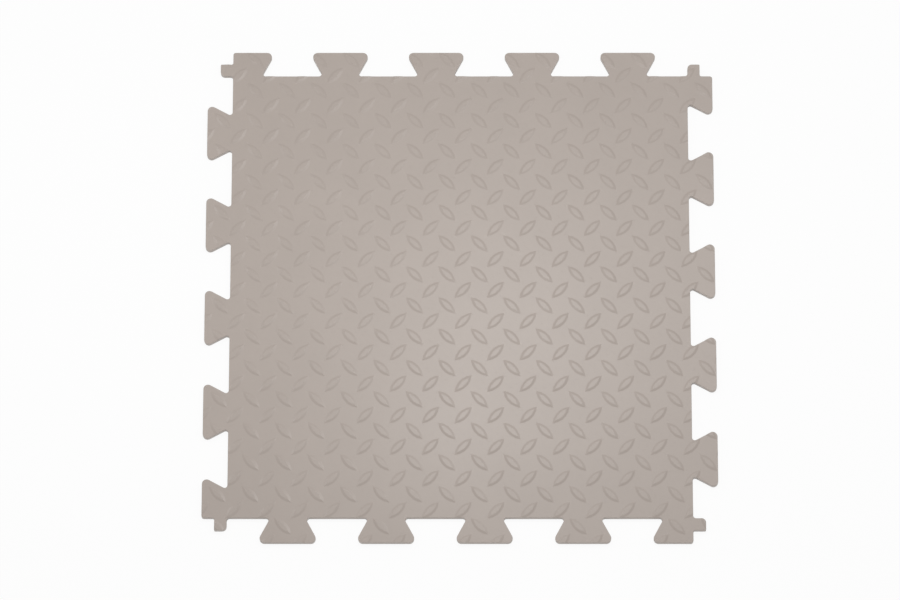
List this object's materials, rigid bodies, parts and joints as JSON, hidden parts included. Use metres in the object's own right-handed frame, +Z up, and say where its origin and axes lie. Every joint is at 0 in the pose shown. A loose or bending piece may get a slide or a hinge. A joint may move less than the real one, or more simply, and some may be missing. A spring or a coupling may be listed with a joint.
{
  "type": "interlocking rubber floor tile",
  "caption": "Square interlocking floor tile with dovetail tabs on all four sides and a raised diamond-plate tread on top.",
  "frame": {"origin": "middle of the underside, on the floor", "axes": "+Z up through the thickness; +X and +Y along the tile's sides, +Y to the top of the picture"},
  "size_m": [0.5256, 0.5256, 0.007],
  "materials": {
    "tile_rubber": "moulded, satin, beige-grey, fine grain on the tread bars"
  },
  "bodies": {
    "root": {"floor_tile": "tile_rubber"}
  },
  "joints": []
}
